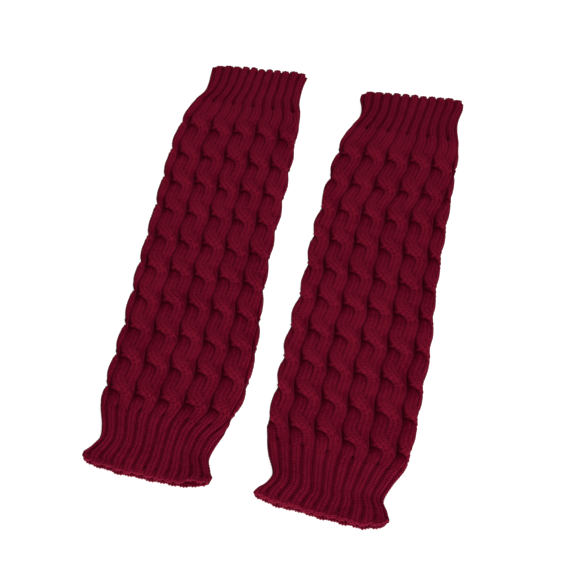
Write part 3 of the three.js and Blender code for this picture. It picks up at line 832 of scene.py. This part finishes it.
def yarn_height(tree):
    stitch = add(tree, "ShaderNodeAttribute", attribute_name="stitch")
    split = add(tree, "ShaderNodeSeparateXYZ")
    tree.links.new(stitch.outputs["Vector"], split.inputs[0])
    wale, course, depth = split.outputs
    part = calc(tree, "SUBTRACT", calc(tree, "FRACT", wale), 0.5)
    side = calc(tree, "ABSOLUTE", part)
    phase = calc(tree, "ADD", course, calc(tree, "MULTIPLY", side, ARM_SLANT))
    arms = calc(tree, "COSINE", calc(tree, "MULTIPLY", phase, 2 * math.pi))
    plies = calc(tree, "SINE", calc(tree, "ADD", calc(tree, "MULTIPLY", course, PLIES_ALONG),
                                    calc(tree, "MULTIPLY", side, PLIES_ACROSS)))
    from_middle = calc(tree, "MULTIPLY", side, 2.0)
    body = calc(tree, "SUBTRACT", calc(tree, "MULTIPLY", arms, ARM_HEIGHT),
                calc(tree, "POWER", from_middle, BODY_POWER))
    height = calc(tree, "ADD", body, calc(tree, "MULTIPLY", plies, PLY_HEIGHT))
    # The groove mask is painted shade: darker towards the grooves between columns and between the arms of
    # each V.
    groove = calc(tree, "ADD", calc(tree, "POWER", from_middle, PAINTED_GROOVE_POWER),
                  calc(tree, "MULTIPLY", arms, ARM_PAINTED_SHADE))
    return height, groove, wale, course, depth


print("plies along a course:", round(PLIES_ALONG / (2 * math.pi), 1))

# %% Shade of the yarn
# It goes from dark to light with slow drift, fibres and a chance shade for each stitch. Painted shade makes
# it darker in the grooves and low in the relief, and a last map dims what lies deepest with stronger painted
# shade.
FIBRE_SCALE, FIBRE_DETAIL, DRIFT_SCALE = 1900, 3, 34
DRIFT_SHADE, FIBRE_SHADE, STITCH_SHADE, BASE_SHADE, PAINTED_DEPTH_SHADE = 0.5, 0.28, 0.2, 0.16, 0.5
DARK_AT, LIGHT_AT = 0.2, 0.66
PAINTED_HOLLOW_SHADE = (("From Min", 0.45), ("From Max", 1.2), ("To Min", 1.0), ("To Max", 0.45))


def yarn_noise(tree, scale, detail=2.0):
    noise = add(tree, "ShaderNodeTexNoise")
    noise.inputs["Scale"].default_value = scale
    noise.inputs["Detail"].default_value = detail
    tree.links.new(add(tree, "ShaderNodeTexCoord").outputs["Object"], noise.inputs["Vector"])
    return noise.outputs[0]


def stitch_shade(tree, wale, course):
    one_stitch = add(tree, "ShaderNodeTexWhiteNoise", noise_dimensions="2D")
    joined = add(tree, "ShaderNodeCombineXYZ")
    tree.links.new(calc(tree, "FLOOR", wale), joined.inputs[0])
    tree.links.new(calc(tree, "FLOOR", course), joined.inputs[1])
    tree.links.new(joined.outputs[0], one_stitch.inputs["Vector"])
    return calc(tree, "MULTIPLY", one_stitch.outputs[0], STITCH_SHADE)


def yarn_dye_and_painted_shade(tree, colour, dark, shade, depth):
    ramp = add(tree, "ShaderNodeValToRGB")
    for element, at, tone in zip(ramp.color_ramp.elements, (DARK_AT, LIGHT_AT), (dark, colour)):
        element.position = at
        element.color = (*tone, 1)
    tree.links.new(shade, ramp.inputs[0])
    # Painted shade: the deepest places are dimmed further.
    hollow_painted_shade = add(tree, "ShaderNodeMapRange", interpolation_type="SMOOTHSTEP")
    for socket, value in PAINTED_HOLLOW_SHADE:
        hollow_painted_shade.inputs[socket].default_value = value
    tree.links.new(depth, hollow_painted_shade.inputs["Value"])
    dye_and_painted_shade = add(tree, "ShaderNodeVectorMath", operation="SCALE")
    tree.links.new(ramp.outputs[0], dye_and_painted_shade.inputs[0])
    tree.links.new(hollow_painted_shade.outputs[0], dye_and_painted_shade.inputs["Scale"])
    return dye_and_painted_shade.outputs[0]


print("a fibre's grain is about, mm:", round(1000 / FIBRE_SCALE, 2))

# %% The yarn material
FINISH = (
    ("Roughness", 0.8), ("Specular IOR Level", 0.02), ("Specular Tint", (1.0, 0.1, 0.25, 1)),
    ("Sheen Weight", 0.35), ("Sheen Roughness", 0.3), ("Sheen Tint", (0.95, 0.05, 0.17, 1)),
)
BUMP_STRENGTH, BUMP_DISTANCE, FIBRE_HEIGHT = 0.9, 0.0004, 0.5


def yarn_material(name, colour, dark, painted_groove_shade):
    material = bpy.data.materials.new(name)
    material.use_nodes = True
    tree = material.node_tree
    shader = tree.nodes["Principled BSDF"]
    height, groove, wale, course, depth = yarn_height(tree)
    fibres, drift = yarn_noise(tree, FIBRE_SCALE, FIBRE_DETAIL), yarn_noise(tree, DRIFT_SCALE)
    shade = calc(tree, "ADD", calc(tree, "MULTIPLY", drift, DRIFT_SHADE),
                 calc(tree, "MULTIPLY", fibres, FIBRE_SHADE))
    shade = calc(tree, "ADD", calc(tree, "ADD", shade, stitch_shade(tree, wale, course)), BASE_SHADE)
    # Painted shade: darker where the relief lies low.
    shade = calc(tree, "SUBTRACT", shade, calc(tree, "MULTIPLY", depth, PAINTED_DEPTH_SHADE))
    # Painted shade in the grooves.
    shade = calc(tree, "SUBTRACT", shade, calc(tree, "MULTIPLY", groove, painted_groove_shade))
    tree.links.new(yarn_dye_and_painted_shade(tree, colour, dark, shade, depth), shader.inputs["Base Color"])
    bump = add(tree, "ShaderNodeBump")
    bump.inputs["Strength"].default_value = BUMP_STRENGTH
    bump.inputs["Distance"].default_value = BUMP_DISTANCE
    height = calc(tree, "ADD", height, calc(tree, "MULTIPLY", fibres, FIBRE_HEIGHT))
    tree.links.new(height, bump.inputs["Height"])
    tree.links.new(bump.outputs[0], shader.inputs["Normal"])
    for socket, value in FINISH:
        shader.inputs[socket].default_value = value
    return material


# Light and dark tone of each, and how much painted shade darkens its grooves.
CABLE_YARN = yarn_material("wine_cable_yarn", (0.150, 0.0045, 0.0183), (0.070, 0.0008, 0.0076), 0.25)
CUFF_YARN = yarn_material("wine_cuff_yarn", (0.156, 0.0048, 0.0193), (0.069, 0.0008, 0.0078), 0.33)
# The edge yarn is lighter as painted light on the edge rows.
EDGE_YARN_PAINTED_LIGHT = yarn_material("wine_edge_yarn_painted_light", (0.186, 0.0086, 0.0272), (0.089, 0.0020, 0.0110), 0.35)
print("yarn materials:", CABLE_YARN.name, CUFF_YARN.name, EDGE_YARN_PAINTED_LIGHT.name)

# %% [markdown]
# ## Knit the pieces
# Each leg warmer is a top cuff, a cable leg and a bottom cuff, as in the solid model. They meet at the
# same course, so no crack shows between them.

# %% Make both leg warmers
# For each part: where it starts and ends, its pattern, and which of its ends is a rim.
PARTS = {
    "top_cuff": ("top", "top_seam", "ribs", "start"),
    "cable_leg": ("top_seam", "bottom_seam", "cables", None),
    "bottom_cuff": ("bottom_seam", "bottom", "ribs", "end"),
}
PIECES = {}
for side, warmer in WARMERS.items():
    for part, (start, end, pattern, rim) in PARTS.items():
        points, stitches = wall_rings(warmer, pattern, warmer[start], warmer[end], rim)
        PIECES[f"{side}_{part}"] = ring_mesh(f"{side}_{part}_knit", points, stitches)
print("knitted pieces:", len(PIECES))

# %% [markdown]
# ## Edges of the knitting
# The top edge is cast off and each rib ends in a small rounded bump. The bottom edge is a firm row of
# cast-on loops. A bead with one swelling for each stitch lies along the middle of the wall's edge.

# %% Path of an edge
BEAD_POINTS = 6


def edge_path(warmer, end):
    count = STITCHES_ROUND * BEAD_POINTS
    cable = FIRST_CABLE + np.arange(count) * CABLES / count
    y = np.array([[warmer[end]]])
    outside, _ = outer(warmer, "ribs", y, cable[None, :], RIM_ROUND)
    inside, _ = inner(warmer, y, cable[None, :], RIM_ROUND)
    return (outside[0] + inside[0]) / 2


def square_to(path):
    ahead = np.roll(path, -2, axis=0) - np.roll(path, 2, axis=0)
    ahead /= np.linalg.norm(ahead, axis=1, keepdims=True)
    along_tube = np.array([0.0, 1.0, 0.0])
    first = along_tube - ahead * (ahead @ along_tube)[:, None]
    first /= np.linalg.norm(first, axis=1, keepdims=True)
    return first, np.cross(ahead, first)


print("points round an edge:", len(edge_path(WARMERS["left"], "top")))

# %% Edge beads
# The bead is stored as lying above the crowns, so the yarn material paints it lighter: painted light.
BEAD, BEAD_RING, BEAD_PAINTED_LIGHT_DEPTH = {"top": (1.25, 0.22), "bottom": (1.5, 0.3)}, 8, -0.3


def edge_bead(side, end):
    path = edge_path(WARMERS[side], end)
    first, second = square_to(path)
    radius, swell = BEAD[end]
    stitch = np.arange(len(path)) / BEAD_POINTS
    size = radius * (1 + swell * np.cos(2 * math.pi * stitch))
    twist = (2 * math.pi * np.arange(BEAD_RING) / BEAD_RING)[:, None] + 0 * stitch
    points = path + size[:, None] * (np.cos(twist)[..., None] * first + np.sin(twist)[..., None] * second)
    points[..., 2] = np.maximum(points[..., 2], 0.0)
    stitches = np.stack([twist / math.pi + 0.5, stitch + 0 * twist, BEAD_PAINTED_LIGHT_DEPTH + 0 * twist], axis=-1)
    return ring_mesh(f"{side}_{end}_edge", points, stitches)


EDGES = {(side, end): edge_bead(side, end) for side in WARMERS for end in ("top", "bottom")}

# %% [markdown]
# ## Fasten the pieces to the frame
# Nothing on a leg warmer moves by itself, so everything rides on the one body. Each knitted piece stands for
# its solid.

# %% Ride and replace
for key, piece in PIECES.items():
    side, part = key.split("_", 1)
    warmer = WARMERS[side]
    is_leg = part == "cable_leg"
    piece.data.materials.append(CABLE_YARN if is_leg else CUFF_YARN)
    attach(piece, "root")
    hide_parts(key)
    start, end = PARTS[part][:2]
    if not is_leg:
        edge = EDGES[side, part.split("_")[0]]
        edge.data.materials.append(EDGE_YARN_PAINTED_LIGHT)
        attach(edge, "root")
print("sheets declared:", len(PIECES), "and edges:", len(EDGES))

# %% [markdown]
# ## Floor
# The pair lies on a plain white surface that runs out of the picture on all sides. It gives a little
# light of its own, like a light table, so it stays white round the pieces and their sides are not black.

# %% Make the floor
REACH, FLOOR_LEVEL = 4.0, -0.0004
PAPER = (
    ("Base Color", (0.3, 0.3, 0.3, 1)), ("Roughness", 0.9), ("Specular IOR Level", 0.1),
    ("Emission Color", (1, 1, 1, 1)), ("Emission Strength", 0.9),
)
corners = [(x * REACH, y * REACH, FLOOR_LEVEL) for x, y in ((-1, -1), (1, -1), (1, 1), (-1, 1))]
floor_mesh = bpy.data.meshes.new("floor")
floor_mesh.from_pydata(corners, [], [(0, 1, 2, 3)])
floor = bpy.data.objects.new("floor", floor_mesh)
bpy.context.collection.objects.link(floor)
paper = bpy.data.materials.new("white_paper")
paper.use_nodes = True
for socket, value in PAPER:
    paper.node_tree.nodes["Principled BSDF"].inputs[socket].default_value = value
floor.data.materials.append(paper)
print("floor, metres across:", 2 * REACH)

# %% [markdown]
# ## Light
# The real light is soft and comes mostly from above and behind, so gutters and the hollows under each
# crossing go nearly black while the crowns stay even. One big lamp does this, and painted shade in the yarn
# material deepens the gutters and hollows. The lamp stands far off, because a near one would make the far
# cuffs brighter than the hems. A low one in front lights the hems, and a plain white sky fills the shadows.

# %% Lamps and sky
SKY_STRENGTH = 0.38


def soft_lamp(name, position, size, watts):
    data = bpy.data.lights.new(name, "AREA")
    data.shape = "DISK"
    data.size = size
    data.energy = watts
    lamp = bpy.data.objects.new(name, data)
    lamp.location = position
    lamp.rotation_euler = Vector(position).to_track_quat("Z", "Y").to_euler()
    bpy.context.collection.objects.link(lamp)
    print(name, "lamp, metres away:", round(lamp.location.length, 2))


soft_lamp("key", position=(1.35, 3.6, 4.5), size=2.4, watts=304)
soft_lamp("front", position=(0.25, -1.2, 0.3), size=0.6, watts=18)
sky = bpy.data.worlds.new("sky")
sky.use_nodes = True
sky.node_tree.nodes["Background"].inputs["Color"].default_value = (1, 1, 1, 1)
sky.node_tree.nodes["Background"].inputs["Strength"].default_value = SKY_STRENGTH
bpy.context.scene.world = sky
bpy.context.scene.view_settings.view_transform = "Standard"
